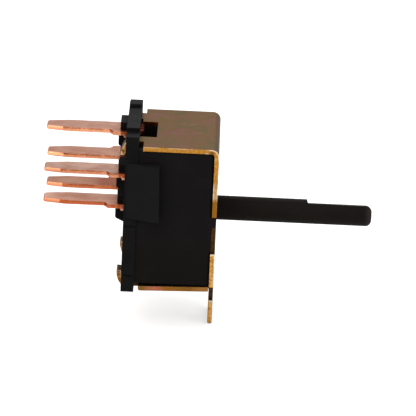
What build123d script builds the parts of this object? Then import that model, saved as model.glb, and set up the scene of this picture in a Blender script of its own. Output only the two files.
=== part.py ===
from build123d import *
from math import cos, radians, sin
import os

os.makedirs("parts", exist_ok=True)

# Rotary blower control switch: a folded steel bracket wraps a moulded housing, and its
# tabs lock a terminal board over the housing's open rear. A D-shaft turns a contact
# bridge that joins the battery terminal to one speed terminal at a time.
#
# Millimetres. The shaft's axis is the X axis, +X towards the knob, +Z up. The origin is
# where that axis meets the bracket's front face. Y is across the switch, and its
# negative side is the side with the connector latch.

# ------------------------------------------------------------------ driving dimensions
# Bracket: one sheet, folded to a U
sheet = 1.1               # sheet thickness
bend_inner = 0.8          # inside radius of the two main folds
bracket_width = 32.3      # across the walls, along Y
top_height = 19.6         # shaft axis to the top wall's outer face
bottom_height = 16.35     # shaft axis to the bottom wall's outer face, at the plate
bottom_splay = 0.5        # its rear edge stands this much lower
wall_rear_gap = 1.1       # walls' rear edges to the terminal board
wall_edge_radius = 0.45   # rear edge of the bottom wall's underside
corner_slit = 0.15        # lanced gap where the lower fold stops short of the side edges
corner_width = 2.0        # width of those unfolded corners
lug_notch_depth = 1.05    # notches in the plate's side edges
lug_notch_top = 2.55
lug_notch_bottom = -6.8
shaft_hole_radius = 3.6

# Mounting tab, lanced out of the bottom wall
tab_width = 12.5
tab_neck_width = 10.5
tab_head_top = -22.15     # Z where the neck widens to the head
tab_end = -28.4           # Z of the tab's lower end
tab_corner_radius = 1.0
tab_edge_radius = 0.35    # its lower end's cut edges
screw_hole_radius = 2.2
screw_hole_z = -25.1
lance_gap = 0.3           # tab to the window that it leaves in the wall

# Top wall's rear edge
relief_near = -7.6        # window over the battery terminal, from this Y ...
relief_far = 5.1          # ... to this Y
relief_depth = 3.0        # cut forward from the rear edge
far_shoulder_gap = 0.4    # beside the window, the far tongue stops short of the board
far_neck_edge = 12.5      # outer edge of the wide far tongue

# Locking tabs, folded over the board
lock_fold_inner = 0.3     # inside radius of their sharp first fold
lock_fold_depth = 0.85    # it starts this far inside the board
lock_lip_height = 1.75    # the slots' lips taper over this height to make room
lock_top_y = 9.6          # centre of the top wall's pair, each side of the axis
lock_top_width = 4.0
lock_top_fold = 62        # degrees
lock_top_curl = 8.5       # radius of the rest, bent less sharply
lock_top_drop = 3.65      # wall's outer face to the tab's end
lock_top_tip_radius = 0.6
lock_bottom_y = 10.85
lock_bottom_width = 4.1
lock_bottom_fold = 55
lock_bottom_curl = 4.5
lock_bottom_drop = 3.9
lock_bottom_tip_radius = 1.2
lock_edge_radius = 0.3

# Housing
housing_depth = 18.3      # plate's inner face to the board
side_setback = 0.35       # housing's sides behind the bracket's side edges
front_wall = 3.0
edge_radius = 0.5
lug_height = 2.65

# Terminal board
board_thickness = 3.1
board_foot_drop = 0.95    # bottom edge below the bottom wall
shoulder_rise = 2.3       # top edge at both sides, above the top wall
plateau_rise = 1.0        # top edge across the middle, above the shoulders
ear_rise = 0.8            # the ear on the far side, above the plateau
shoulder_width = 4.55
ear_near = 5.85           # the ear runs from this Y ...
ear_far = 9.7             # ... to this Y
ear_radius = 0.35
slot_clearance = 0.05     # round blades and tabs in their slots
boss_width = 6.3
boss_proud = 2.15         # below the blade
boss_step = 0.4           # above the blade, the boss stands this much less proud
boss_above = 2.35         # blade's centre to the boss's top
boss_below = 3.45         # blade's centre to the boss's lower corner
boss_slope = 0.95         # the boss's underside drops this much towards the board
boss_radius = 0.7
foot_top = -12.9          # groove lines moulded across the board's edges
panel_top = -0.4
groove_width = 0.5
groove_depth = 0.3

# Connector latch ramp, on the near side of the board
ramp_top = 15.3
ramp_bottom = 1.6
ramp_rear_gap = 0.4       # board's rear face to the ramp's toe
ramp_length = 8.25        # toe to the foot of the latching face
ramp_lean = 0.4           # the latching face leans back this much over its height
ramp_nose = 1.5           # the nearly flat stretch before the latching face
ramp_shoulder = 2.9       # proud of the board's edge where the nose begins
ramp_proud = 3.2          # proud of the board's edge at the latching face
ramp_clearance = 0.05     # ramp's underside to the housing's side

# Terminals
blade_width = 6.35
blade_thickness = 1.0
blade_tip = -42.25        # X of the blades' ends
lead_in_length = 4.0
lead_in_width = 4.6       # width of a blade's end
lead_in_radius = 0.5
tip_bevel = 0.28          # all round the lead-in
shoulder_top = 4.2        # battery blade's shoulder, from the board's rear face
shoulder_upper = 4.45     # the next pair's
shoulder_lower = 4.8      # the lowest pair's
shoulder_extra = 1.8      # added width, on one side
shoulder_taper = 0.9
foot_drop = 0.5           # stake foot below the blade
foot_radius = 0.3
foot_thickness = 0.8
row_top = 19.3            # Z of the battery blade
row_upper = 10.6          # Z of the next pair
row_lower = 2.8           # Z of the lowest pair
column = 6.5              # Y of the paired blades, each side of the axis

# Contacts
outer_track = 10.6        # radius of the contacts of the upper pair
outer_contact_rise = 45   # degrees above the horizontal
inner_track = 7.0         # radius of the contacts of the lower pair
inner_contact_drop = 11.5  # degrees below the horizontal
leg_margin = 0.5          # leg's width beyond its contact button
button_radius = 1.25
button_height = 0.5
rivet_radius = 0.7
ring_inner = 3.0          # common ring round the pivot
ring_outer = 4.3
common_leg_width = 4.8
contact_gap = 0.1

# Shaft
shaft_radius = 3.0
shaft_length = 38.0
flat_start = 22.1
flat_height = 2.0         # axis to the D's flat
flat_turn = 15            # degrees from +Z towards +Y that the flat faces, at OFF
tip_radius = 1.4
step_chamfer = 0.3
journal_radius = 3.3
journal_clearance = 0.06
flange_radius = 5.2
flange_thickness = 1.0
key_size = 4.5
key_length = 2.6
key_clearance = 0.05

# Rotor
washer_thickness = 0.5
washer_radius = 6.0
end_play = 0.05           # each side of the washer
hub_radius = 6.5
drum_radius = 11.6
drum_length = 5.0
hub_length = 2.5
rear_hub_radius = 7.2
rear_hub_gap = 1.05       # to the contact bridge
stub_size = 4.0           # square that drives the contact bridge
pivot_radius = 1.9
pivot_depth = 2.0         # blind bore in the board
pivot_end_gap = 0.2
stop_arm_radius = 11.4
stop_arm_angle = 20
stop_arm_rest = 150       # degrees from +Y towards +Z, in the OFF position
travel = 120              # OFF and four speeds
stop_play = 1

# Detent
detent_count = 12         # stations round the ring
ball_radius = 2.0
ball_centre = 10.2        # radius at which the balls pass the ridges
ball_clearance = 0.05
ridge_radius = 12.4
scallop_radius = 2.15
scallop_centre = 11.1
detent_wire = 0.5
detent_turns = 9

# Housing cavity
cavity_radius = 13.4
hub_pocket_radius = 7.0
arm_pocket_radius = 12.0
leg_pocket_depth = 1.5
leg_pocket_half_width = 10.2
leg_pocket_top = 11.7
leg_pocket_bottom = -3.4
common_slot_clearance = 0.4
window_floor = 14.4       # Z of the floor under the top wall's window

# Bridge
bridge_thickness = 0.8
bridge_contact_height = 0.6
bridge_hub_radius = 5.4
bridge_arm_width = 3.4
bridge_contact_radius = 1.1
bridge_ring_width = 0.9
spring_wire = 0.6
spring_radius = 4.5
spring_turns = 2.5
spring_pocket_depth = 1.9
spring_pocket_margin = 0.3

# ------------------------------------------------------------------ derived places
half_width = bracket_width / 2
housing_half = half_width - side_setback
wall_length = sheet + housing_depth - wall_rear_gap
top_inner = top_height - sheet
bottom_inner = bottom_height - sheet
board_front = -(sheet + housing_depth)
board_rear = board_front - board_thickness
board_bottom = -bottom_height - board_foot_drop
board_shoulder = top_height + shoulder_rise
board_plateau = board_shoulder + plateau_rise
board_ear = board_plateau + ear_rise
boss_rear = board_rear - boss_proud
leg_front = board_front + blade_thickness
button_face = leg_front + button_height
bridge_contact_face = button_face + contact_gap
bridge_rear = bridge_contact_face + bridge_contact_height
bridge_front = bridge_rear + bridge_thickness
cavity_front = -(sheet + front_wall)
flange_front = cavity_front - washer_thickness - 2 * end_play
hub_front = flange_front - flange_thickness - end_play
drum_front = hub_front - hub_length
drum_rear = drum_front - drum_length
rear_hub_rear = bridge_front + rear_hub_gap
ball_x = (drum_front + drum_rear) / 2
detent_pitch = 360 / detent_count
lock_fold_start = board_rear + lock_fold_depth
lock_top_z = top_height - sheet / 2
lock_bottom_z = sheet / 2 - bottom_height - bottom_splay
bottom_slope = bottom_splay / (wall_length - sheet / 2)
ramp_toe = board_rear + ramp_rear_gap
ramp_face = ramp_toe + ramp_length


def polar(radius, angle):
    """The (Y, Z) point at a radius and an angle from +Y towards +Z."""
    return radius * cos(radians(angle)), radius * sin(radians(angle))


# Speed contacts: name, blade's Y and Z, side and length of its shoulder, contact's Y and Z
upper_contact = polar(outer_track, outer_contact_rise)
lower_contact = polar(inner_track, -inner_contact_drop)
speeds = {
    "low": (-column, row_upper, -1, shoulder_upper, -upper_contact[0], upper_contact[1]),
    "high": (column, row_upper, 1, shoulder_upper, upper_contact[0], upper_contact[1]),
    "medium_low": (-column, row_lower, -1, shoulder_lower, -lower_contact[0], lower_contact[1]),
    "medium_high": (column, row_lower, 1, shoulder_lower, lower_contact[0], lower_contact[1]),
}
blades = [(0, row_top)] + [(y, z) for y, z, *_ in speeds.values()]

# Bridge arms (track radius, angle at OFF). Turning 30 degrees a step, the outer arm
# meets "low" at step 1 and "high" at step 4, and each inner arm meets one "medium".
bridge_arms = [
    (outer_track, 180 - outer_contact_rise + detent_pitch),
    (inner_track, 180 + inner_contact_drop + 2 * detent_pitch),
    (inner_track, -inner_contact_drop + 3 * detent_pitch),
]


def save(piece, name):
    """Label a finished sub-part and write it to its own STEP file."""
    piece.part.label = name
    export_step(piece.part, f"parts/{name}.step")


def block(x, y, z, mode=Mode.ADD):
    """Add or cut a box given by its ranges along X, Y and Z."""
    with Locations(((x[0] + x[1]) / 2, (y[0] + y[1]) / 2, (z[0] + z[1]) / 2)):
        Box(x[1] - x[0], y[1] - y[0], z[1] - z[0], mode=mode)


def round_bar(radius, x_from, x_to, mode=Mode.ADD):
    """Add or cut a cylinder on the shaft's axis between two X positions."""
    with BuildSketch(Plane.YZ.offset(x_from)) as section:
        Circle(radius)
    extrude(section.sketch, amount=x_to - x_from, mode=mode)


def square_bar(size, x_from, x_to, mode=Mode.ADD):
    """Add or cut a square bar on the shaft's axis between two X positions."""
    with BuildSketch(Plane.YZ.offset(x_from)) as section:
        Rectangle(size, size)
    extrude(section.sketch, amount=x_to - x_from, mode=mode)


def sector(radius, start, end):
    """Draw a pie slice, angles in degrees from +Y towards +Z."""
    with BuildLine() as outline:
        Line((0, 0), polar(radius, start))
        CenterArc((0, 0), radius, start, end - start)
        Line(polar(radius, end), (0, 0))
    make_face(outline.edges())


def coil_spring(start, direction, length, radius, wire, turns):
    """A compression spring from a start point along a direction."""
    with BuildLine() as coil:
        Helix(length / turns, length, radius, center=start, direction=direction)
    with BuildSketch(Plane(origin=coil.line @ 0, z_dir=coil.line % 0)) as section:
        Circle(wire / 2)
    sweep(section.sketch, path=coil.line, is_frenet=True)


# ------------------------------------------------------------------ bracket
def locking_tab(y, z, turn, width, fold, curl, drop, tip_radius, slope):
    """A tab that passes through the board and curls over its rear: turn 1 down, -1 up."""
    end = z + turn * (sheet / 2 - drop)
    with BuildPart() as tab:
        with BuildSketch(Plane.XZ.offset(-y)):
            with BuildLine():
                root = Line((sheet - wall_length, z + slope * sheet), (-wall_length, z))
                through = Line(root @ 1, (lock_fold_start, z))
                bend = JernArc(through @ 1, through % 1, lock_fold_inner + sheet / 2, turn * fold)
                JernArc(bend @ 1, bend % 1, curl, turn * (95 - fold))
            trace(line_width=sheet)
            with Locations((board_rear, (z + turn * sheet + end) / 2)):
                Rectangle(2 * housing_depth, abs(z + turn * sheet - end), mode=Mode.INTERSECT)
            fillet(vertices().filter_by_position(Axis.Y, end, end), lock_edge_radius)
        extrude(amount=width / 2, both=True)
        with BuildSketch(Plane.YZ.offset(board_rear)):
            with Locations((y, (z + turn * sheet + end) / 2)):
                Rectangle(width, abs(z + turn * sheet - end))
            fillet(vertices().filter_by_position(Axis.Y, end, end), tip_radius)
        extrude(amount=housing_depth, both=True, mode=Mode.INTERSECT)
    add(tab.part)


with BuildPart() as bracket:
    with BuildSketch(Plane.XZ):
        with BuildLine():
            FilletPolyline(
                (-wall_length, lock_bottom_z), (-sheet / 2, sheet / 2 - bottom_height),
                (-sheet / 2, top_height - sheet / 2), (-wall_length, top_height - sheet / 2),
                radius=bend_inner + sheet / 2,
            )
        trace(line_width=sheet)
    extrude(amount=half_width, both=True)
    fillet(edges().filter_by(Axis.Y).sort_by(Axis.Z)[0], wall_edge_radius)

    # The lower fold stops short of both side edges: square corners, parted by a slit
    fold_depth = sheet + bend_inner
    for side in (-1, 1):
        corner = sorted((side * (half_width - corner_width), side * half_width))
        block((-fold_depth, 0), corner,
              (-bottom_height - bottom_splay, fold_depth - bottom_height), Mode.SUBTRACT)
        block((-sheet, 0), corner, (-bottom_inner, fold_depth - bottom_height))
        block((-fold_depth, -sheet - corner_slit), corner, (-bottom_height, -bottom_inner))

    # Mounting tab, and the window that it leaves in the bottom wall
    window_half = tab_width / 2 + lance_gap
    window_end = tab_end + bottom_inner
    block((window_end, 0), (-window_half, window_half),
          (-bottom_height - bottom_splay, fold_depth - bottom_height), Mode.SUBTRACT)
    with BuildSketch(Plane.YZ.offset(-sheet)):
        with Locations((0, (tab_end + tab_head_top) / 2)):
            Rectangle(tab_width, tab_head_top - tab_end)
        fillet(vertices().group_by(Axis.Y)[0], tab_corner_radius)
        with Locations((0, (tab_head_top + fold_depth - bottom_height) / 2)):
            Rectangle(tab_neck_width, fold_depth - bottom_height - tab_head_top)
        with Locations((0, screw_hole_z)):
            Circle(screw_hole_radius, mode=Mode.SUBTRACT)
    extrude(amount=sheet)
    fillet(edges().filter_by(Axis.Y).filter_by_position(Axis.Z, tab_end, tab_end), tab_edge_radius)

    # Notches for the housing's lugs, and the shaft hole
    for side in (-1, 1):
        notch = sorted((side * (half_width - lug_notch_depth), side * half_width))
        block((-sheet, 0), notch, (lug_notch_bottom, lug_notch_top), Mode.SUBTRACT)
    round_bar(shaft_hole_radius, -sheet, 0, Mode.SUBTRACT)

    # Top wall's rear edge: window over the battery terminal, wide tongue beside it
    block((-wall_length, relief_depth - wall_length), (relief_near, relief_far),
          (top_inner, top_height), Mode.SUBTRACT)
    far_tab_edge = lock_top_y - lock_top_width / 2
    block((board_front + far_shoulder_gap, -wall_length), (relief_far, far_tab_edge),
          (top_inner, top_height))
    block((board_front + slot_clearance, -wall_length), (far_tab_edge, far_neck_edge),
          (top_inner, top_height))

    for side in (-1, 1):
        locking_tab(side * lock_top_y, lock_top_z, 1, lock_top_width, lock_top_fold,
                    lock_top_curl, lock_top_drop, lock_top_tip_radius, 0)
        locking_tab(side * lock_bottom_y, lock_bottom_z, -1, lock_bottom_width, lock_bottom_fold,
                    lock_bottom_curl, lock_bottom_drop, lock_bottom_tip_radius, bottom_slope)
save(bracket, "bracket")

# ------------------------------------------------------------------ housing
with BuildPart() as housing:
    with BuildSketch(Plane.YZ.offset(board_front)):
        with Locations((0, (top_inner - bottom_inner) / 2)):
            Rectangle(2 * housing_half, top_inner + bottom_inner)
    extrude(amount=housing_depth)
    fillet(edges().filter_by(Axis.X), edge_radius)
    front_edges = faces().sort_by(Axis.X)[-1].edges().filter_by(Axis.Y)
    fillet(front_edges, bend_inner + slot_clearance)

    # Lugs that sit in the plate's side notches
    for side in (-1, 1):
        lug = sorted((side * (half_width - lug_notch_depth + slot_clearance), side * housing_half))
        block((-sheet - edge_radius, -slot_clearance), lug,
              (lug_notch_top - slot_clearance - lug_height, lug_notch_top - slot_clearance))

    # Stepped cavity, open to the rear: bridge and legs, detent ring, hub and stop arm
    round_bar(cavity_radius, board_front, drum_rear, Mode.SUBTRACT)
    with BuildSketch(Plane.YZ.offset(drum_rear)):
        Circle(ridge_radius)
        with PolarLocations(scallop_centre, detent_count):
            Circle(scallop_radius)
    extrude(amount=drum_length, mode=Mode.SUBTRACT)
    with BuildSketch(Plane.YZ.offset(drum_front)):
        Circle(hub_pocket_radius)
        arm_half = stop_arm_angle / 2 + stop_play
        sector(arm_pocket_radius, stop_arm_rest - travel - arm_half, stop_arm_rest + arm_half)
    extrude(amount=cavity_front - drum_front, mode=Mode.SUBTRACT)
    round_bar(journal_radius + journal_clearance, cavity_front, -sheet, Mode.SUBTRACT)

    # Room for the terminals' legs against the board
    block((board_front, board_front + leg_pocket_depth),
          (-leg_pocket_half_width, leg_pocket_half_width),
          (leg_pocket_bottom, leg_pocket_top), Mode.SUBTRACT)
    slot_half = blade_width / 2 + common_slot_clearance
    block((board_front, board_front + leg_pocket_depth), (-slot_half, slot_half),
          (0, top_inner), Mode.SUBTRACT)

    # Pocket under the top wall's window
    block((board_front, relief_depth - wall_length), (relief_near, relief_far),
          (window_floor, top_inner), Mode.SUBTRACT)
save(housing, "housing")

# ------------------------------------------------------------------ terminal board
def tab_slot(y, z, turn, width):
    """Cut the slot for a locking tab, with a tapered lip on the side that it folds to."""
    half = sheet / 2 + slot_clearance
    lip = z - turn * half
    with BuildSketch(Plane.XZ.offset(-y)) as section:
        with Locations(((board_rear + board_front) / 2, z)):
            Rectangle(board_thickness, 2 * half)
        with BuildLine() as taper:
            Polyline((board_rear, lip), (lock_fold_start + slot_clearance, lip),
                     (board_rear, lip - turn * lock_lip_height), close=True)
        make_face(taper.edges())
    extrude(section.sketch, amount=width / 2 + slot_clearance, both=True, mode=Mode.SUBTRACT)


with BuildPart() as terminal_board:
    with BuildSketch(Plane.YZ.offset(board_rear)):
        shoulder_y = half_width - shoulder_width
        with BuildLine():
            Polyline(
                (-half_width, board_bottom), (-half_width, board_shoulder),
                (-shoulder_y, board_shoulder), (-shoulder_y, board_plateau),
                (ear_near, board_plateau), (ear_near, board_ear), (ear_far, board_ear),
                (ear_far, board_plateau), (shoulder_y, board_plateau),
                (shoulder_y, board_shoulder), (half_width, board_shoulder),
                (half_width, board_bottom), close=True,
            )
        make_face()
        fillet(vertices().group_by(Axis.Y)[-1], edge_radius)
    extrude(amount=board_thickness)

    # Bosses round the blades, with sloping undersides
    for y, z in blades:
        with BuildSketch(Plane.XZ.offset(-y)):
            with BuildLine():
                Polyline(
                    (board_rear, z + boss_above), (boss_rear + boss_step, z + boss_above),
                    (boss_rear + boss_step, z), (boss_rear, z),
                    (boss_rear, z - boss_below), (board_rear, z - boss_below - boss_slope),
                    close=True,
                )
            make_face()
            corners = vertices().filter_by_position(Axis.X, boss_rear, boss_rear + boss_step)
            fillet(corners.group_by(Axis.Y)[0], boss_radius)
            fillet(corners.group_by(Axis.Y)[-1], edge_radius)
        extrude(amount=boss_width / 2, both=True)
    ear_edges = edges().filter_by(Axis.Y).filter_by_position(Axis.Z, board_ear, board_ear)
    fillet(ear_edges, ear_radius)

    # Connector latch ramp on the near side
    for height, face in ((ramp_bottom, ramp_face), (ramp_top, ramp_face - ramp_lean)):
        with BuildSketch(Plane.XY.offset(height)):
            with BuildLine():
                Polyline(
                    (ramp_toe, -half_width), (face - ramp_nose, -half_width - ramp_shoulder),
                    (face, -half_width - ramp_proud), (face, -housing_half - ramp_clearance),
                    (ramp_toe, -housing_half - ramp_clearance), close=True,
                )
            make_face()
    loft()

    # Slots for the blades and for the bracket's tabs, and the pivot's blind bore
    for y, z in blades:
        with BuildSketch(Plane.YZ.offset(boss_rear)):
            with Locations((y, z)):
                Rectangle(blade_width + 2 * slot_clearance, blade_thickness + 2 * slot_clearance)
        extrude(amount=board_front - boss_rear, mode=Mode.SUBTRACT)
    for side in (-1, 1):
        tab_slot(side * lock_top_y, lock_top_z, 1, lock_top_width)
        tab_slot(side * lock_bottom_y, lock_bottom_z, -1, lock_bottom_width)
    round_bar(pivot_radius + journal_clearance, board_front - pivot_depth, board_front, Mode.SUBTRACT)

    # Moulded groove lines across both side edges
    for side in (-1, 1):
        groove = sorted((side * (half_width - groove_depth), side * half_width))
        for z in (panel_top, foot_top):
            block((board_rear, board_front), groove, (z - groove_width, z), Mode.SUBTRACT)
save(terminal_board, "terminal_board")


# ------------------------------------------------------------------ terminals
def blade(y, z, shoulder, shoulder_length):
    """A flat blade with its lead-in, and a shoulder with a stake foot on one side."""
    half = blade_width / 2
    outer = shoulder * (half + shoulder_extra)
    shoulder_end = board_rear - slot_clearance
    shoulder_start = shoulder_end - shoulder_length
    with BuildSketch(Plane((0, y, z - blade_thickness / 2))) as outline:
        with BuildLine():
            Polyline(
                (board_front, -half), (blade_tip + lead_in_length, -half),
                (blade_tip, -lead_in_width / 2), (blade_tip, lead_in_width / 2),
                (blade_tip + lead_in_length, half), (board_front, half), close=True,
            )
        make_face()
        fillet(vertices().group_by(Axis.X)[0], lead_in_radius)
        with BuildLine():
            Polyline(
                (shoulder_end, 0), (shoulder_start, 0), (shoulder_start, shoulder * half),
                (shoulder_start + shoulder_taper, outer), (shoulder_end, outer), close=True,
            )
        make_face()
    extrude(outline.sketch, amount=blade_thickness)
    lead_in = edges().filter_by(
        lambda edge: (edge @ 0.5).X < blade_tip + lead_in_length - 0.01
        and abs((edge @ 0).Z - (edge @ 1).Z) < 0.01
    )
    chamfer(lead_in, tip_bevel)
    foot = sorted((y + shoulder * (half + 0.1), y + outer))
    foot_bottom = z - blade_thickness / 2 - foot_drop
    block((shoulder_end - foot_thickness, shoulder_end), foot, (foot_bottom, z))
    fillet(edges().filter_by(Axis.Y).filter_by_position(Axis.Z, foot_bottom, foot_bottom), foot_radius)


def speed_terminal(y, z, shoulder, shoulder_length, contact_y, contact_z):
    """A blade whose inner end is folded down the board to a rounded contact leg."""
    with BuildPart() as terminal:
        blade(y, z, shoulder, shoulder_length)
        leg_half = button_radius + leg_margin
        top = z + blade_thickness / 2
        with BuildSketch(Plane.YZ.offset(board_front)):
            with Locations((contact_y, (top + contact_z) / 2)):
                Rectangle(2 * leg_half, top - contact_z)
            with Locations((contact_y, contact_z)):
                Circle(leg_half)
                Circle(rivet_radius, mode=Mode.SUBTRACT)
        extrude(amount=blade_thickness)
        fold = edges().filter_by(Axis.Y).filter_by_position(Axis.X, leg_front, leg_front)
        fillet(fold.group_by(Axis.Z)[-1], blade_thickness * 0.8)
    return terminal


def contact_button(contact_y, contact_z):
    """A rivet contact: a low domed head on the leg, its shank through to the board."""
    with BuildPart() as button:
        with BuildSketch(Plane.YZ.offset(leg_front)):
            with Locations((contact_y, contact_z)):
                Circle(button_radius)
        extrude(amount=button_height)
        fillet(faces().sort_by(Axis.X)[-1].edges(), button_height / 2)
        with BuildSketch(Plane.YZ.offset(board_front)):
            with Locations((contact_y, contact_z)):
                Circle(rivet_radius)
        extrude(amount=blade_thickness)
    return button


for speed, places in speeds.items():
    save(speed_terminal(*places), f"terminal_{speed}")
    save(contact_button(*places[-2:]), f"contact_{speed}")

with BuildPart() as terminal_battery:
    blade(0, row_top, -1, shoulder_top)
    common_top = row_top + blade_thickness / 2
    with BuildSketch(Plane.YZ.offset(board_front)):
        with Locations((0, common_top / 2)):
            Rectangle(common_leg_width, common_top)
        with Locations((0, row_top)):
            Rectangle(blade_width, blade_thickness)
        Circle(ring_outer)
        Circle(ring_inner, mode=Mode.SUBTRACT)
    extrude(amount=blade_thickness)
    common_fold = edges().filter_by(Axis.Y).filter_by_position(Axis.X, leg_front, leg_front)
    fillet(common_fold.group_by(Axis.Z)[-1], blade_thickness * 0.8)
save(terminal_battery, "terminal_battery")

with BuildPart() as common_ring:
    with BuildSketch(Plane.YZ.offset(leg_front)):
        Circle(ring_outer - 0.1)
        Circle(ring_inner + 0.1, mode=Mode.SUBTRACT)
    extrude(amount=button_height)
save(common_ring, "common_ring")

# ------------------------------------------------------------------ shaft and washer
with BuildPart() as control_shaft:
    round_bar(shaft_radius, 0, shaft_length)
    with BuildSketch(Plane.XZ.rotated((-flat_turn, 0, 0))):
        with BuildLine():
            Polyline(
                (flat_start, shaft_radius + 1), (flat_start, shaft_radius - step_chamfer),
                (flat_start + step_chamfer, flat_height), (shaft_length + 1, flat_height),
                (shaft_length + 1, shaft_radius + 1), close=True,
            )
        make_face()
    extrude(amount=shaft_radius + 1, both=True, mode=Mode.SUBTRACT)
    fillet(faces().sort_by(Axis.X)[-1].edges(), tip_radius)
    round_bar(journal_radius, flange_front, 0)
    round_bar(flange_radius, flange_front - flange_thickness, flange_front)
    square_bar(key_size, flange_front - flange_thickness - key_length,
               flange_front - flange_thickness)
save(control_shaft, "control_shaft")

with BuildPart() as thrust_washer:
    with BuildSketch(Plane.YZ.offset(cavity_front - end_play - washer_thickness)):
        Circle(washer_radius)
        Circle(journal_radius + journal_clearance, mode=Mode.SUBTRACT)
    extrude(amount=washer_thickness)
save(thrust_washer, "thrust_washer")

# ------------------------------------------------------------------ contact carrier
with BuildPart() as contact_carrier:
    round_bar(hub_radius, drum_front, hub_front)
    with BuildSketch(Plane.YZ.offset(drum_front)):
        sector(stop_arm_radius, stop_arm_rest - stop_arm_angle / 2,
               stop_arm_rest + stop_arm_angle / 2)
    extrude(amount=hub_length)
    round_bar(drum_radius, drum_rear, drum_front)
    round_bar(rear_hub_radius, rear_hub_rear, drum_rear)
    square_bar(stub_size, bridge_contact_face - key_clearance, rear_hub_rear)
    round_bar(pivot_radius, board_front - pivot_depth + pivot_end_gap,
              bridge_contact_face - key_clearance)
    square_bar(key_size + 2 * key_clearance,
               flange_front - flange_thickness - key_length - key_clearance, hub_front,
               Mode.SUBTRACT)
    with BuildSketch(Plane.YZ.offset(rear_hub_rear)):
        Circle(spring_radius + spring_wire / 2 + spring_pocket_margin)
        Circle(spring_radius - spring_wire / 2 - spring_pocket_margin, mode=Mode.SUBTRACT)
    extrude(amount=spring_pocket_depth, mode=Mode.SUBTRACT)
    with BuildSketch(Plane.XZ):
        with Locations((ball_x, 0)):
            Circle(ball_radius + ball_clearance)
    extrude(amount=drum_radius, both=True, mode=Mode.SUBTRACT)
save(contact_carrier, "contact_carrier")

# ------------------------------------------------------------------ detent balls and spring
for side, ball_name in ((-1, "detent_ball_near"), (1, "detent_ball_far")):
    with BuildPart() as detent_ball:
        with Locations((ball_x, side * ball_centre, 0)):
            Sphere(ball_radius)
    save(detent_ball, ball_name)

with BuildPart() as detent_spring:
    detent_half = ball_centre - ball_radius - detent_wire / 2
    coil_spring((ball_x, -detent_half, 0), (0, 1, 0), 2 * detent_half,
                ball_radius - detent_wire / 2 - 0.1, detent_wire, detent_turns)
save(detent_spring, "detent_spring")

# ------------------------------------------------------------------ contact bridge
with BuildPart() as contact_bridge:
    with BuildSketch(Plane.YZ.offset(bridge_rear)):
        Circle(bridge_hub_radius)
        for track, angle in bridge_arms:
            with PolarLocations(track / 2, 1, start_angle=angle):
                Rectangle(track, bridge_arm_width)
            with PolarLocations(track, 1, start_angle=angle):
                Circle(bridge_arm_width / 2)
        for track, angle in bridge_arms:
            with PolarLocations(track, 1, start_angle=angle):
                Circle(rivet_radius, mode=Mode.SUBTRACT)
        Rectangle(stub_size + 2 * key_clearance, stub_size + 2 * key_clearance,
                  mode=Mode.SUBTRACT)
    extrude(amount=bridge_thickness)
    with BuildSketch(Plane.YZ.offset(bridge_contact_face)):
        Circle(ring_inner + 0.2 + bridge_ring_width)
        Circle(ring_inner + 0.2, mode=Mode.SUBTRACT)
    extrude(amount=bridge_contact_height)
save(contact_bridge, "contact_bridge")

with BuildPart() as bridge_contacts:
    for track, angle in bridge_arms:
        with BuildSketch(Plane.YZ.offset(bridge_contact_face)):
            with Locations(polar(track, angle)):
                Circle(bridge_contact_radius)
        extrude(amount=bridge_contact_height)
        with BuildSketch(Plane.YZ.offset(bridge_rear)):
            with Locations(polar(track, angle)):
                Circle(rivet_radius)
        extrude(amount=bridge_thickness)
save(bridge_contacts, "bridge_contacts")

with BuildPart() as bridge_spring:
    spring_seat = rear_hub_rear + spring_pocket_depth
    spring_length = spring_seat - bridge_front - spring_wire
    coil_spring((spring_seat - spring_wire / 2, 0, 0), (-1, 0, 0), spring_length,
                spring_radius, spring_wire, spring_turns)
save(bridge_spring, "bridge_spring")
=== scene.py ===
"""Finishes, studio and camera for a rotary blower control switch, round its CAD frame.

Lengths are in metres in the part's own frame: +X along the shaft towards the knob, +Z
up, and the origin where the shaft's axis meets the front plate.
"""
import logging
import math
from abc import ABC, abstractmethod
from dataclasses import dataclass
from enum import Enum
from typing import Any, ClassVar

import bpy
from mathutils import Matrix, Vector


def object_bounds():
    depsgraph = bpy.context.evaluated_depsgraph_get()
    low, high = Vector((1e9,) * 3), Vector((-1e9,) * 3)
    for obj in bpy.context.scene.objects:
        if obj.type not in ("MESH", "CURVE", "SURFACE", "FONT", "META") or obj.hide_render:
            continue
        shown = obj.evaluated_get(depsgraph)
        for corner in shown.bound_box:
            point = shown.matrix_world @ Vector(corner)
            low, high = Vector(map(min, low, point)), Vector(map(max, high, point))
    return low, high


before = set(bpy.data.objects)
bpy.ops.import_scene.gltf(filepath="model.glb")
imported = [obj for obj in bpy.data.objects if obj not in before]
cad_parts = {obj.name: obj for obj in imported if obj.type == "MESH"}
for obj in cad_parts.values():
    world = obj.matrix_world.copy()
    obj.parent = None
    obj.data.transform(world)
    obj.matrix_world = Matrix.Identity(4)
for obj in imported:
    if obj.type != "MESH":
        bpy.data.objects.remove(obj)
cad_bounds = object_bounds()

logging.basicConfig(level=logging.INFO, format="%(message)s")
log = logging.getLogger("blower_switch")

Colour = tuple[float, float, float]
Point = tuple[float, float, float]
Stops = tuple[tuple[float, Colour], ...]
Inputs = ClassVar[dict[str, float]]
Socket = bpy.types.NodeSocket

MM = 0.001
NOWHERE = 1.0  # far beyond the part, for a zone that a piece doesn't have
WHITE = (1.0, 1.0, 1.0, 1.0)
BARE_STEEL: Colour = (0.46, 0.37, 0.25)


class Axis(Enum):
    """An axis of the part's frame, by its place in a point."""

    X = 0
    Y = 1
    Z = 2


# ------------------------------------------------------------------ shader tools
@dataclass(frozen=True)
class Fade:
    """A smooth, clamped change from first to last while another value goes start to end."""

    start: float
    end: float
    first: Any = 0.0
    last: Any = 1.0

    def moved(self, by: float) -> "Fade":
        """Return the same change, further along."""
        return Fade(by + self.start, by + self.end, self.first, self.last)


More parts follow.
